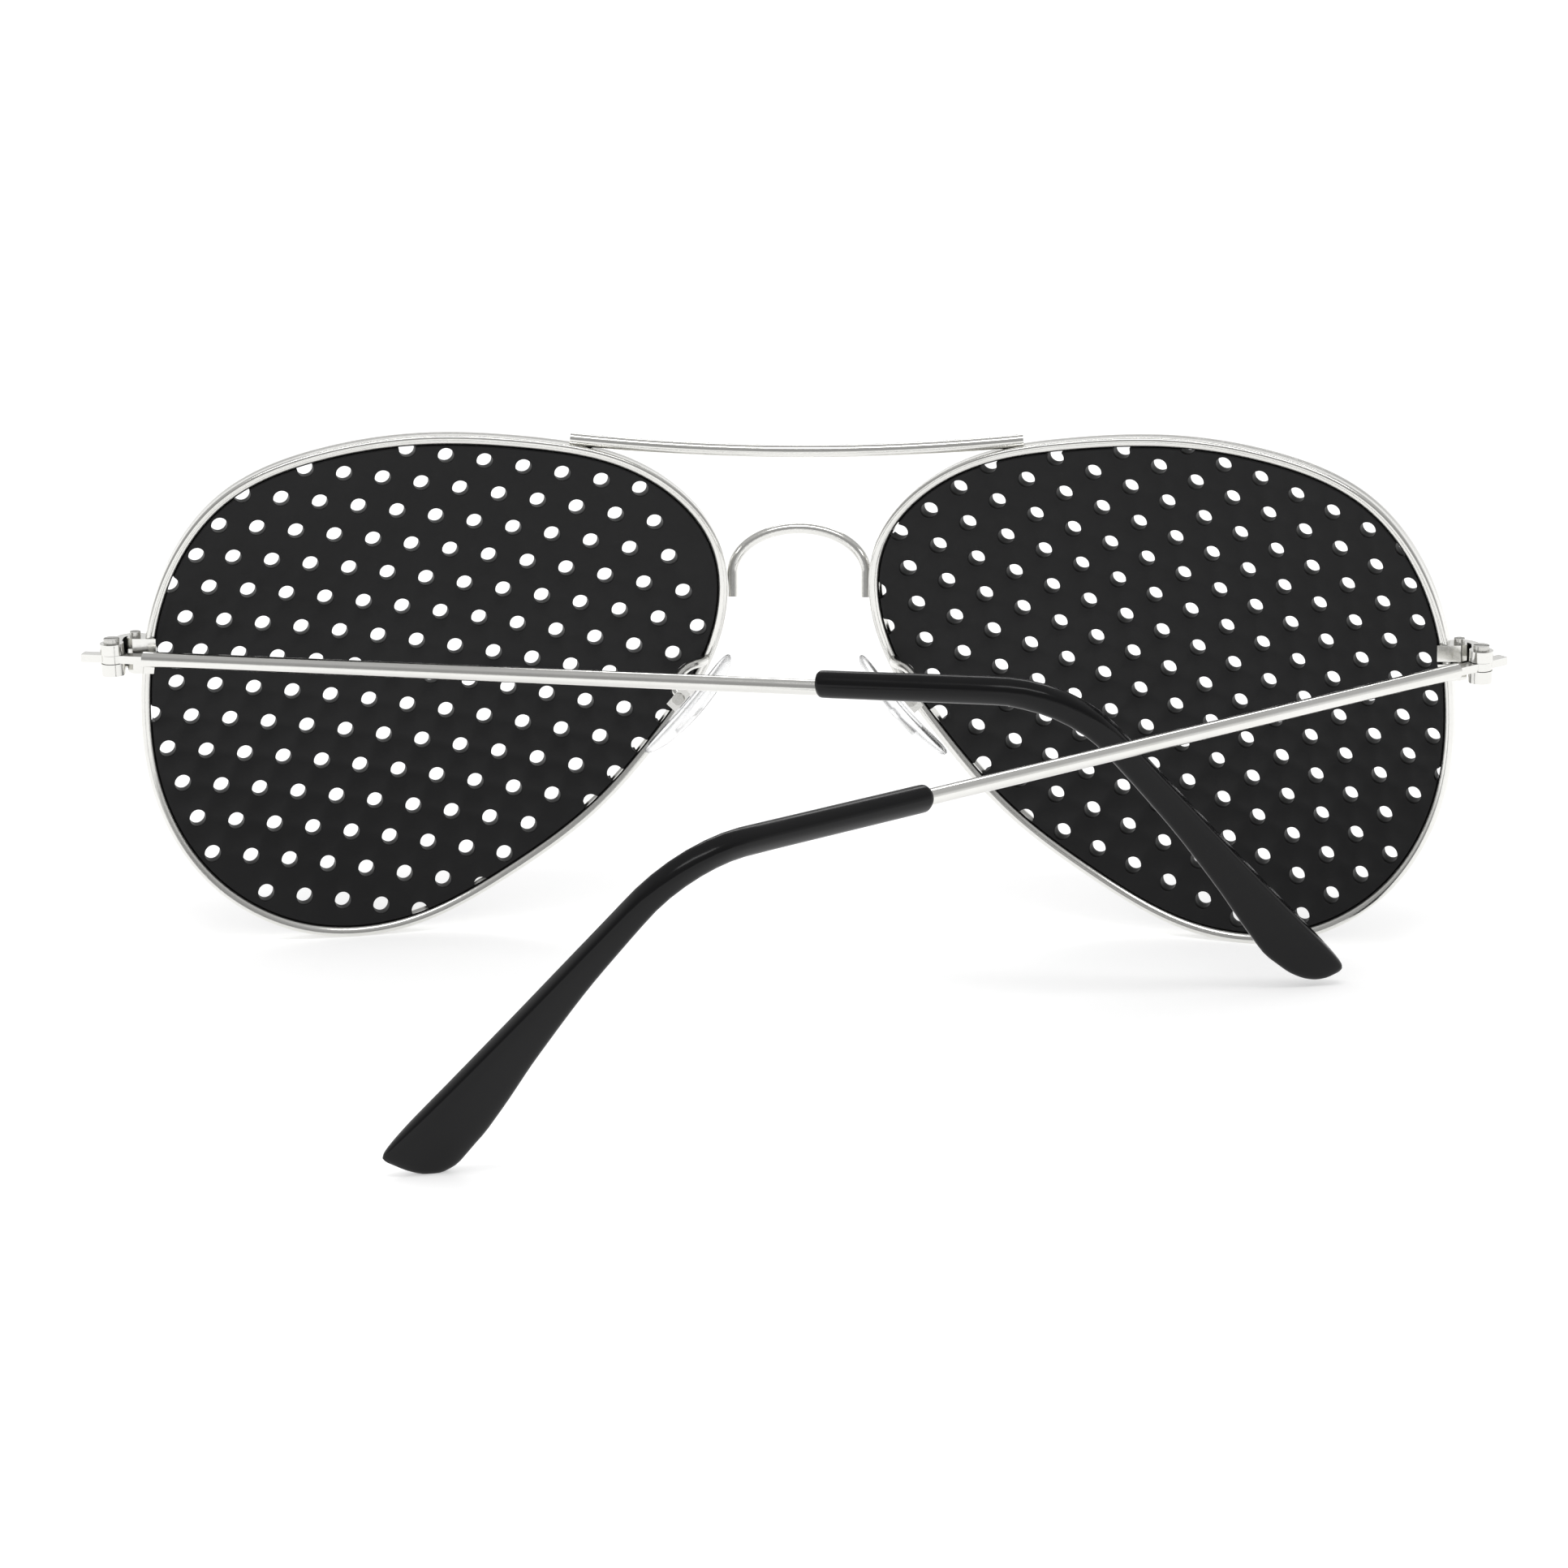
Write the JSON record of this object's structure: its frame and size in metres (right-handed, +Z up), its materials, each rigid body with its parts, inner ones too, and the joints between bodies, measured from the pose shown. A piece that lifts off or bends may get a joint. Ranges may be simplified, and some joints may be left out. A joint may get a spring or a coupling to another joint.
{
  "type": "pinhole glasses",
  "caption": "Wire-frame aviator pinhole glasses with black perforated lenses, brow bar, rocking clear nose pads and folding temples with moulded ear tips",
  "frame": {"origin": "on the surface that the two rims stand on, under the middle of the bridge, in the plane of the lens apexes", "axes": "+X towards the wearer's right, +Y forward out of the lenses, +Z up"},
  "size_m": [0.1424, 0.0903, 0.0511],
  "materials": {
    "wire_metal": "bright drawn metal wire, silver tone",
    "screw_steel": "small plain steel screws",
    "lens_black": "satin black moulded plastic with round holes",
    "tip_black": "satin to gloss black moulded sleeve",
    "pad_clear": "clear soft plastic, smooth",
    "pad_insert": "clear stiff plastic core"
  },
  "bodies": {
    "front": {"brow_bar": "wire_metal", "bridge": "wire_metal", "rim_left": "wire_metal", "rim_block_upper_left": "wire_metal", "rim_block_lower_left": "wire_metal", "rim_screw_left": "screw_steel", "lens_left": "lens_black", "endpiece_left": "wire_metal", "hinge_screw_left": "screw_steel", "pad_arm_left": "wire_metal", "pad_screw_left": "screw_steel", "rim_right": "wire_metal", "rim_block_upper_right": "wire_metal", "rim_block_lower_right": "wire_metal", "rim_screw_right": "screw_steel", "lens_right": "lens_black", "endpiece_right": "wire_metal", "hinge_screw_right": "screw_steel", "pad_arm_right": "wire_metal", "pad_screw_right": "screw_steel"},
    "temple_left": {"temple_wire_left": "wire_metal", "temple_tip_left": "tip_black"},
    "pad_left": {"nose_pad_left": "pad_clear", "pad_insert_left": "pad_insert"},
    "temple_right": {"temple_wire_right": "wire_metal", "temple_tip_right": "tip_black"},
    "pad_right": {"nose_pad_right": "pad_clear", "pad_insert_right": "pad_insert"}
  },
  "joints": [
    {"name": "temple_left_fold", "type": "hinge", "parent": "front", "child": "temple_left", "pos_m": [-0.0682, -0.01032, 0.03], "axis": [-0.034, -0.01, 0.9994], "range_deg": [-75.9, 5]},
    {"name": "temple_right_fold", "type": "hinge", "parent": "front", "child": "temple_right", "pos_m": [0.0682, -0.01032, 0.03], "axis": [-0.034, 0.01, -0.9994], "range_deg": [-44.45, 35]},
    {"name": "pad_left_rock", "type": "hinge", "parent": "front", "child": "pad_left", "pos_m": [-0.01145, -0.007, 0.0253], "axis": [-0.1593, -0.9781, 0.1336], "range_deg": [-8, 8]},
    {"name": "pad_right_rock", "type": "hinge", "parent": "front", "child": "pad_right", "pos_m": [0.01145, -0.007, 0.0253], "axis": [0.1593, -0.9781, 0.1336], "range_deg": [-8, 8]}
  ],
  "couplings": [
    {"joint": "temple_right_fold", "follows": "temple_left_fold", "ratio": 0.5856}
  ]
}
